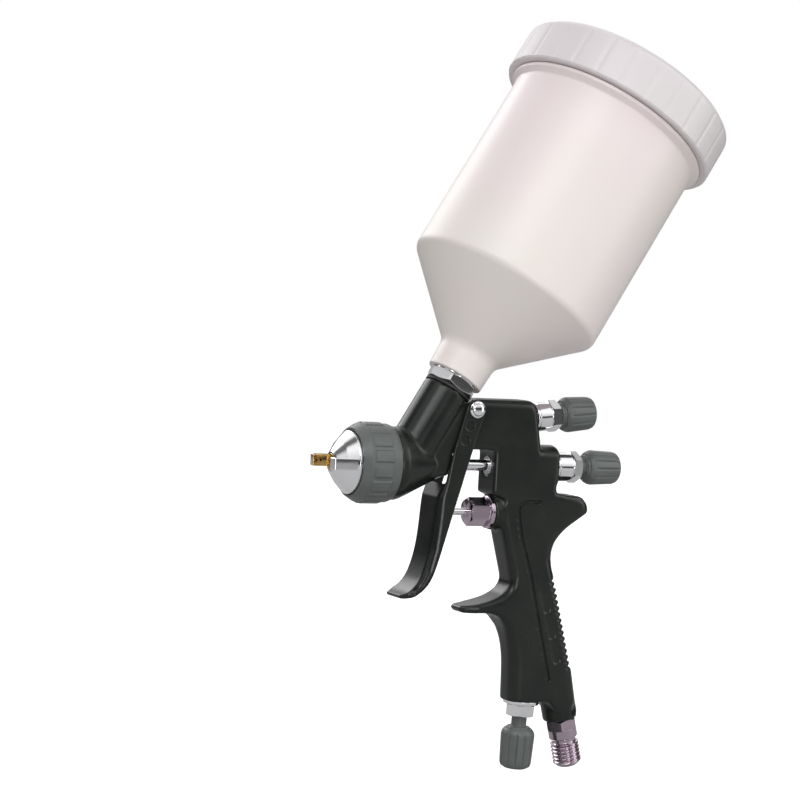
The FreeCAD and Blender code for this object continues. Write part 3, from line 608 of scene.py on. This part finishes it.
stud_head = arm_outside + 0.15
settle(
    turned([(-half_width, 0), (-half_width, 1.95), (stud_head, 1.95), (stud_head, 3.8, 0.2),
            (stud_head + 0.7, 3.8, 0.4),
            (stud_head + 1.1, 2.9, 0.2), (stud_head + 1.8, 2.5, 0.7), (stud_head + 2.2, 0)], 64),
    "pivot_stud", "root", chrome, "chrome", "trigger_stud", place=stud,
)

# ---- air cap and ring ----


def cap_shell():
    return turned([
        (cap_face, 1.8), (cap_face, 4.4, 0.3), (cap_face + 0.5, 5.4, 0.4), (-69.2, 9.9, 6.0),
        (-65.2, 13.9, 0.4),
        (ring_front + 2.2, 14.0, 0.1), (ring_front + 2.2, 14.6), (-57.6, 14.6), (-57.6, 12.0),
        (-63.4, 12.0), (-70.6, 4.2), (-70.6, 1.8),
    ], 128)


settle(cap_shell(), "air_cap_shell", "air_cap", chrome, "chrome", "air_cap", place=nozzle)


def horn(side):
    """One horn of the cap, with its two air jets drilled in the face towards the nozzle and painted shade on
    the jets' bore walls.
    """
    bm = block((-77.5, 8.9, -2.65), (-64.6, 13.1, 2.65))
    for vert in bm.verts:
        if vert.co.x > -70 and vert.co.y < 10:
            vert.co.x = -68.4
        if vert.co.x < -70 and vert.co.y > 10:
            vert.co.x += 0.5
    eased(bm, 0.45, 20, 3)
    jets = []
    for x in (-75.9, -73.8):
        jet = turned([(-1.5, 0), (-1.5, 0.48), (1.5, 0.48), (1.5, 0)], 24)
        inwards = Matrix.Rotation(math.radians(-90), 4, "X")
        jets.append(moved(jet, Matrix.Translation((x, 8.9, 0)) @ inwards))
    bm = cut_out(bm, *jets)
    if side < 0:
        bmesh.ops.scale(bm, vec=(1, -1, 1), verts=bm.verts)
        bmesh.ops.reverse_faces(bm, faces=bm.faces)
    for face in bm.faces:
        middle = face.calc_center_median()
        if abs(middle.y) < 9.35:
            face.material_index = 1
        # the jet bores' walls get the third material, a painted shade
        in_jet = 8.95 < abs(middle.y) < 10.6 and abs(middle.z) < 0.6 and middle.x > -76.6
        if in_jet and abs(face.normal.y) < 0.5:
            face.material_index = 2
    return bm


settle(horn(-1), "air_horn_near", "air_cap", [chrome, brass, jet_bore_painted_shade], "chrome")
settle(horn(1), "air_horn_far", "air_cap", [chrome, brass, jet_bore_painted_shade], "chrome")
settle(
    turned([(cap_face - 0.25, 1.8), (cap_face - 0.25, 3.6, 0.2), (cap_face + 1.2, 4.1),
            (cap_face + 1.2, 1.8)], 64),
    "air_cap_face", "air_cap", brass, "brass", place=nozzle,
)
settle(
    turned([(cap_face - 0.4, 0.7), (cap_face - 0.4, 1.35, 0.15), (cap_face + 3, 1.35), (-61, 5),
            (-56, 6.6), (-50, 6.6),
            (-50, 5.5), (-38, 5.5), (-38, 3.4), (-59, 3.4), (-70, 0.7)], 48),
    "fluid_nozzle", "root", brass, "brass", "fluid_tip", place=nozzle,
)


def cap_ring():
    """Grip ring: smooth front and back bands with raised pads between them."""
    pads, divisions = 16, 9
    front, back = ring_front + 4.4, ring_back - 4.4
    bm = turned([
        (ring_front, 14.3), (ring_front, 15.3, 0.3), (ring_front + 3.4, 17.4, 0.6), (front, 17.4),
        (back, 17.4),
        (ring_back - 1.4, 17.4, 0.5), (ring_back, 16.9, 0.3), (ring_back, 14.7), (ring_front + 1.6, 14.7),
        (ring_front + 1.6, 14.3),
    ], pads * divisions)
    raised = []
    for face in bm.faces:
        middle = face.calc_center_median()
        turn = math.degrees(math.atan2(middle.y, middle.x)) % 360
        on_pad = int(turn * pads * divisions / 360) % divisions < divisions - 2
        if on_pad and front < middle.z < back and math.hypot(middle.x, middle.y) > 17:
            raised.append(face)
    bmesh.ops.inset_region(bm, faces=raised, thickness=0.45, depth=0.6, use_even_offset=True)
    return eased(bm, 0.12, 25)


settle(
    cap_ring(), "cap_grip_ring", "air_cap_ring", grey_moulding, "grey_plastic", "air_cap_ring", place=nozzle,
)

# ---- needle, gland and air valve ----
settle(
    turned([(-10, 1.25), (-10, 4.4, 0.3), (-8.6, 4.4, 0.3), (-8.6, 2.6, 0.2), (11, 2.6), (11, 1.25)], 64),
    "needle_push_sleeve", "needle", chrome, "chrome", "needle_sleeve", place=nozzle,
)
settle(
    eased(six_flats(turned([(-18.8, 1.55), (-18.8, 4.0), (-18.8, 6), (-15.2, 6), (-15.2, 4.0),
                            (-15.2, 1.55)], 72),
                    -18.8, -15.2, 8.4, 4.0), 0.12),
    "gland_nut", "root", chrome, "chrome", "packing_nut", place=nozzle,
)
settle(
    turned([(-1.9, 5.8), (-1.9, 6.9, 0.3), (-1.4, 7.4, 0.2), (0, 7.4, 0.2), (0, 5.8)], 72),
    "valve_washer", "root", rosy_chrome, "chrome", "air_valve_washer", place=air_valve,
)
settle(
    eased(six_flats(turned([(-11.3, 1.65), (-11.3, 5.2), (-11.3, 8), (-1.9, 8), (-1.9, 5.5),
                            (-1.9, 5.8), (9, 5.8), (9, 4.4),
                            (4, 4.4), (4, 1.65)], 72), -11.3, -1.9, 11.4, 5.5), 0.15),
    "valve_hexagon", "root", rosy_chrome, "chrome", "air_valve_nut", place=air_valve,
)
settle(
    turned([(-27.8, 0), (-27.55, 0.9, 0.3), (-26.9, 1.6, 0.3), (22, 1.6), (22, 0)], 40),
    "valve_stem", "air_valve_stem", chrome, "chrome", "air_valve_stem", place=air_valve,
)

# ---- bushings and knobs ----


def bushing(ring_end, hex_end, depth, collar=6.6, ring_start=0.0):
    """Threaded sleeve with a round collar and a hexagon outside the casting."""
    bm = turned([
        (-depth, 3.95), (-depth, 5.2, 0.3), (ring_start, 5.2), (ring_start, collar, 0.25),
        (ring_start + 0.9, collar, 0.1), (ring_start + 1.1, collar - 0.35, 0.1),
        (ring_start + 1.3, collar - 0.35, 0.1),
        (ring_start + 1.5, collar, 0.1), (ring_end - 0.3, collar, 0.3), (ring_end, 5.9, 0.1),
        (ring_end, 5.95),
        (ring_end, 8), (hex_end, 8), (hex_end, 5.9), (hex_end, 4.9, 0.2), (hex_end - 0.6, 4.4),
        (hex_end - 0.6, 3.95),
    ], 72)
    return eased(six_flats(bm, ring_end + 0.001, hex_end, 12.6, 6.0), 0.12, 32)


def short_collar_bushing():
    """Bushing under the handle: its wide collar closes the casting's end."""
    bm = turned([
        (-12, 3.95), (-12, 5.2, 0.3), (0, 5.2), (0, 8.2, 0.15), (1.6, 8.2, 0.5), (1.6, 6.0),
        (1.7, 8), (7.2, 8),
        (7.2, 5.9), (7.2, 4.9, 0.2), (6.6, 4.4), (6.6, 3.95),
    ], 72)
    return eased(six_flats(bm, 1.65, 7.2, 12.6, 6.0), 0.12, 32)


def knob(start, length, radius, neck, neck_start, screw_end, bore, bore_end):
    """Knob with rings at its shoulder, a slight taper, twelve grooves and a rounded end."""
    end = start + length
    corners = [
        (screw_end, bore), (screw_end, 3.9, 0.2), (neck_start, 3.9), (neck_start, neck, 0.3),
        (start, neck, 0.6),
        (start, radius - 2.7, 0.4), (start + 0.7, radius - 2.2, 0.3), (start + 0.9, radius - 2.2, 0.1),
        (start + 0.9, radius - 1.5, 0.3), (start + 1.9, radius - 0.7, 0.5),
        (start + 3.2, radius - 0.1, 0.8),
    ]
    rings = 8
    for index in range(rings):
        share = index / (rings - 1)
        corners.append((start + 4 + share * (length - 7.6), radius - 0.45 * share))
    corners += [
        (end - 2.6, radius - 0.55), (end - 1.2, radius - 1.0, 0.8), (end, radius - 3.0, 1.6), (end, 0),
        (bore_end, 0), (bore_end, bore),
    ]
    bm = turned(corners, 144)
    return grooved(bm, 12, start + 2.2, end - 1.0, radius - 1.6, 0.5, 4.2, 1.6)


settle(bushing(8.4, 13.0, 4.2), "fluid_sleeve", "root", chrome, "chrome", "fluid_bushing", place=fluid)
settle(bushing(7.6, 12.6, 12.0), "fan_sleeve", "root", chrome, "chrome", "fan_bushing", place=fan)
settle(short_collar_bushing(), "adjust_sleeve", "root", chrome, "chrome", "adjust_bushing", place=adjust)
# piece, CAD node, axis, then the knob's own sizes
knobs = [
    ("fluid_grip", "fluid_knob", fluid, (16.6, 17.6, 8.0, 4.4, 16.2, -6.6, 1.85, 28.5)),
    ("fan_grip", "fan_knob", fan, (14.4, 17.0, 8.1, 5.6, 13.4, -6.0, 0.8, 6.0)),
    ("adjust_grip", "adjust_knob", adjust, (12.0, 19.4, 7.8, 3.5, 2.2, -5.0, 0.8, 4.0)),
]
for name, node, line, sizes in knobs:
    settle(knob(*sizes), name, node, grey_moulding, "grey_plastic", node, place=line)

# ---- air inlet ----


def inlet_fitting():
    """Male connector: hexagon, collar, neck and a real helical thread."""
    thread_start, thread_end, crest, depth, pitch = 11.5, 20.5, 6.58, 0.85, 1.75
    corners = [
        (-10, 3.4), (-10, 5.2), (0.0, 5.2), (0.0, 6.2), (0.0, 8), (5.0, 8), (5.0, 6.2),
        (5.0, 6.6, 0.05), (8.8, 6.6, 0.3),
        (9.3, 6.1, 0.2), (9.5, 5.2, 0.2), (10.9, 5.2, 0.3), (11.4, 5.7),
    ]
    rings = 72
    for index in range(rings + 1):
        corners.append((thread_start + (thread_end - thread_start) * index / rings, crest))
    corners += [(21.9, crest - 1.4, 0.3), (22.5, crest - 2.2, 0.2), (22.5, 3.4)]
    bm = turned(corners, 72)
    for vert in bm.verts:
        reach = math.hypot(vert.co.x, vert.co.y)
        if abs(reach - crest) > 0.02 or not thread_start - 0.01 < vert.co.z < thread_end + 0.01:
            continue
        turn = vert.co.z / pitch - math.atan2(vert.co.y, vert.co.x) / (2 * math.pi)
        wave = abs(turn % 1.0 - 0.5) * 2
        ends = min(1.0, (vert.co.z - thread_start) / 0.6, (thread_end - vert.co.z) / 0.6)
        press = depth * min(1.0, max(0.0, 1.25 * wave - 0.12)) * max(0.0, ends)
        vert.co.x *= 1 - press / reach
        vert.co.y *= 1 - press / reach
    return six_flats(bm, 0.001, 5.0, 13.0, 6.25)


settle(inlet_fitting(), "inlet_fitting", "root", rosy_chrome, "chrome", "air_inlet_connector", place=inlet)

# ---- cup ----
feed_top, adapter_top, cup_low, cone_low, cone_high, cup_high = 38.6, 45.0, 45.3, 58.3, 89.8, 187.5
lid_low, lid_high = 183.9, 205.9
vent_offset = 24
settle(
    turned([(feed_top, 7.0), (feed_top, 10.8, 0.15), (feed_top + 1.3, 10.8, 0.15),
            (feed_top + 1.3, 7.0)], 96),
    "adapter_ring", "root", black_rubber, "seal_rubber", "adapter_washer", place=cup,
)
settle(
    eased(six_flats(turned([(29.6, 5.0), (29.6, 7.0, 0.2), (39.9, 7.0), (39.9, 10.3), (39.9, 14),
                            (adapter_top, 14),
                            (adapter_top, 10.3), (adapter_top, 9.9), (adapter_top + 1, 10.6),
                            (55.0, 10.6, 0.3), (55.0, 5.0)],
                           96), 39.9, adapter_top, 21.5, 10.45), 0.2),
    "cup_hexagon", "root", chrome, "chrome", "cup_adapter", place=cup,
)


def cup_shell():
    neck, wide, wall = 13.05, 46.0, 1.6
    rim = cup_high - 5.5
    return turned([
        (cup_low, 10.65), (cup_low, neck, 0.7), (cone_low - 0.4, neck + 0.5, 7.0), (cone_high, wide, 5.0),
        (rim - 2.2, wide, 1.5), (rim, wide + 2.6, 0.4), (rim + 1.6, wide + 2.6, 0.4),
        (rim + 1.6, wide + 0.6),
        (cup_high, wide + 0.6), (cup_high, wide - wall), (cone_high + 1.8, wide - wall, 4.0),
        (cone_low + 1.8, 10.65, 3.0),
    ], 160)


settle(cup_shell(), "paint_cup_shell", "paint_cup", milky_moulding, "milky_plastic", "paint_cup", place=cup)


def lid():
    """Screw lid with a rounded top edge and thin upright grip lines."""
    skirt, under = 46.65, cup_high + 1.4
    corners = [(lid_low, skirt), (lid_low, 51.2, 0.5), (lid_low + 0.8, 52.0, 0.5)]
    for index in range(6):
        corners.append((lid_low + 1.6 + index * 3.0, 52.0))
    corners += [
        (lid_high - 2.6, 51.8, 2.0), (lid_high, 48.6, 2.0), (lid_high, 46.0, 0.8),
        (lid_high - 1.6, 45.0, 0.8),
        (lid_high - 1.6, 30.0), (lid_high - 1.2, 29.4, 0.3), (lid_high - 1.2, 12, 0.3),
        (lid_high - 1.6, 11.4), (lid_high - 1.6, 0),
        (lid_high - 3.4, 0), (lid_high - 3.4, 38.0), (under, 38.0), (under, skirt),
    ]
    bm = turned(corners, 27 * 16)
    return grooved(bm, 27, lid_low - 1, lid_high - 2.8, 51.0, 0.35, 1.6, 1.6)


lid_solid = cut_out(lid(), moved(turned([(195, 0), (195, 3.05), (210, 3.05), (210, 0)], 48),
                                                Matrix.Translation((vent_offset, 0, 0))))
settle(lid_solid, "screw_lid", "cup_lid", lid_moulding, "lid_plastic", "cup_lid", place=cup)
settle(
    turned([(-3.0, 0), (-3.0, 2.4, 0.2), (-1.8, 3.0), (0.15, 3.0), (0.15, 5.0, 0.3), (1.3, 5.0, 0.5),
            (1.3, 3.2, 0.2),
            (0.9, 2.6, 0.2), (0.9, 0)], 56),
    "vent_plug", "lid_vent_plug", lid_moulding, "lid_plastic", "lid_vent_plug",
    place=cup @ Matrix.Translation((vent_offset, 0, lid_high - 1.6)),
)

# ---- CAD nodes that show as they are ----
carried = {
    bright_steel: ["fluid_needle", "needle_collar", "needle_spring", "needle_spring_seat", "air_valve_spring",
                   "sleeve_bushing", "cap_clip", "fan_plunger", "adjust_plunger"],
    chrome: ["trigger_screw"],
    brass: ["air_baffle"],
    black_rubber: ["fan_seal", "adjust_seal", "air_valve_poppet"],
    white_seal: ["needle_packing", "lid_gasket"],
    strainer_nylon: ["paint_filter"],
}
for material, nodes in carried.items():
    for node in nodes:
        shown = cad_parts[node]
        shown.data.materials.clear()
        shown.data.materials.append(material)
        weld = shown.modifiers.new("closed corners", "WELD")
        weld.merge_threshold = 0.000002
        soft_edge = shown.modifiers.new("eased edges", "BEVEL")
        soft_edge.width = 0.00008
        soft_edge.segments = 2
        soft_edge.limit_method = "ANGLE"
        soft_edge.angle_limit = math.radians(40)
        soft_edge.harden_normals = True

# ---- floor, light and camera ----


def floor():
    low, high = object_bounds()
    bm = bmesh.new()
    bmesh.ops.create_grid(bm, x_segments=1, y_segments=1, size=2.2)
    bmesh.ops.translate(bm, vec=(0, 0, low.z - 0.004), verts=bm.verts)
    sheet = workpiece(bm, "floor")
    material, nodes, links = new_material("pale_floor")
    shader = nodes["Principled BSDF"]
    shader.inputs["Base Color"].default_value = (0.45, 0.45, 0.45, 1)
    shader.inputs["Roughness"].default_value = 0.9
    shader.inputs["Emission Color"].default_value = (1, 1, 1, 1)
    seen = nodes.new("ShaderNodeLightPath")
    glow = nodes.new("ShaderNodeMath")
    glow.operation = "MULTIPLY"
    glow.inputs[1].default_value = 0.86
    links.new(seen.outputs["Is Camera Ray"], glow.inputs[0])
    links.new(glow.outputs["Value"], shader.inputs["Emission Strength"])
    sheet.data.materials.append(material)
    sheet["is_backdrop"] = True


def fill_ramp(ramp, levels):
    """Sets a colour ramp's grey levels from (position, level) pairs."""
    while len(ramp.color_ramp.elements) < len(levels):
        ramp.color_ramp.elements.new(0.5)
    for element, (position, level) in zip(ramp.color_ramp.elements, levels):
        element.position = position
        element.color = (level, level, level, 1)


def surroundings():
    """White room with a dark floor, a dark band at eye level and dark flags round it."""
    world = bpy.data.worlds.new("studio")
    bpy.context.scene.world = world
    world.use_nodes = True
    nodes, links = world.node_tree.nodes, world.node_tree.links
    nodes.clear()
    way = nodes.new("ShaderNodeTexCoord")
    split = nodes.new("ShaderNodeSeparateXYZ")
    height = nodes.new("ShaderNodeMapRange")
    height.inputs["From Min"].default_value = -1.0
    bands = nodes.new("ShaderNodeValToRGB")
    fill_ramp(bands, [(0.0, 0.10), (0.30, 0.22), (0.42, 0.50), (0.475, 0.06), (0.545, 0.04), (0.60, 0.62),
                      (0.80, 0.95), (1.0, 0.8)])
    turn = nodes.new("ShaderNodeTexGradient")
    turn.gradient_type = "RADIAL"
    flags = nodes.new("ShaderNodeValToRGB")
    fill_ramp(flags, [(0.0, 0.9), (0.12, 1.0), (0.17, 0.12), (0.23, 0.12), (0.28, 1.0), (0.44, 1.0),
                      (0.50, 0.10),
                      (0.58, 0.10), (0.63, 1.0), (0.86, 1.0), (0.91, 0.15), (0.96, 0.15), (1.0, 0.9)])
    shade = nodes.new("ShaderNodeMix")
    shade.data_type = "RGBA"
    shade.blend_type = "MULTIPLY"
    shade.inputs["Factor"].default_value = 1.0
    room = nodes.new("ShaderNodeBackground")
    room.inputs["Strength"].default_value = 1.25
    backdrop = nodes.new("ShaderNodeBackground")
    backdrop.inputs["Color"].default_value = (1, 1, 1, 1)
    seen = nodes.new("ShaderNodeLightPath")
    choice = nodes.new("ShaderNodeMixShader")
    out = nodes.new("ShaderNodeOutputWorld")
    links.new(way.outputs["Generated"], split.inputs["Vector"])
    links.new(split.outputs["Z"], height.inputs["Value"])
    links.new(height.outputs["Result"], bands.inputs["Fac"])
    links.new(way.outputs["Generated"], turn.inputs["Vector"])
    links.new(turn.outputs["Fac"], flags.inputs["Fac"])
    links.new(bands.outputs["Color"], shade.inputs["A"])
    links.new(flags.outputs["Color"], shade.inputs["B"])
    links.new(shade.outputs["Result"], room.inputs["Color"])
    links.new(seen.outputs["Is Camera Ray"], choice.inputs["Fac"])
    links.new(room.outputs["Background"], choice.inputs[1])
    links.new(backdrop.outputs["Background"], choice.inputs[2])
    links.new(choice.outputs["Shader"], out.inputs["Surface"])


def softbox(name, place, aim, width, height, power):
    light = bpy.data.lights.new(name, "AREA")
    light.shape = "RECTANGLE"
    light.size = width
    light.size_y = height
    light.energy = power
    lamp = bpy.data.objects.new(name, light)
    lamp.location = place
    lamp.rotation_mode = "QUATERNION"
    lamp.rotation_quaternion = (Vector(aim) - Vector(place)).to_track_quat("-Z", "Y")
    bpy.context.scene.collection.objects.link(lamp)


def camera():
    aim = Vector((-0.09688, 0, 0.16429))
    turn, height, tilt = math.radians(26.5), math.radians(2.2), math.radians(3.2)
    level = math.cos(height)
    back = Vector((-math.sin(turn) * level, -math.cos(turn) * level, math.sin(height)))
    lens = bpy.data.cameras.new("camera")
    lens.lens = 96.75
    lens.sensor_width = 36
    view = bpy.data.objects.new("camera", lens)
    view.location = aim + back * 0.9491
    view.rotation_mode = "QUATERNION"
    view.rotation_quaternion = back.to_track_quat("Z", "Y") @ Matrix.Rotation(tilt, 3, "Z").to_quaternion()
    bpy.context.scene.collection.objects.link(view)
    bpy.context.scene.camera = view


floor()
surroundings()
softbox("key", (-0.55, -0.75, 0.85), (-0.05, 0, 0.15), 0.7, 0.5, 4.4)
softbox("fill", (0.75, -0.65, 0.45), (0, 0, 0.12), 0.35, 0.9, 2.2)
softbox("rim", (-0.35, 0.8, 0.6), (-0.05, 0, 0.15), 0.8, 0.4, 2.4)
softbox("cup fill", (-0.25, -1.0, 0.14), (-0.04, 0, 0.27), 0.4, 0.25, 1.9)
camera()
bpy.context.scene.view_settings.view_transform = "Standard"
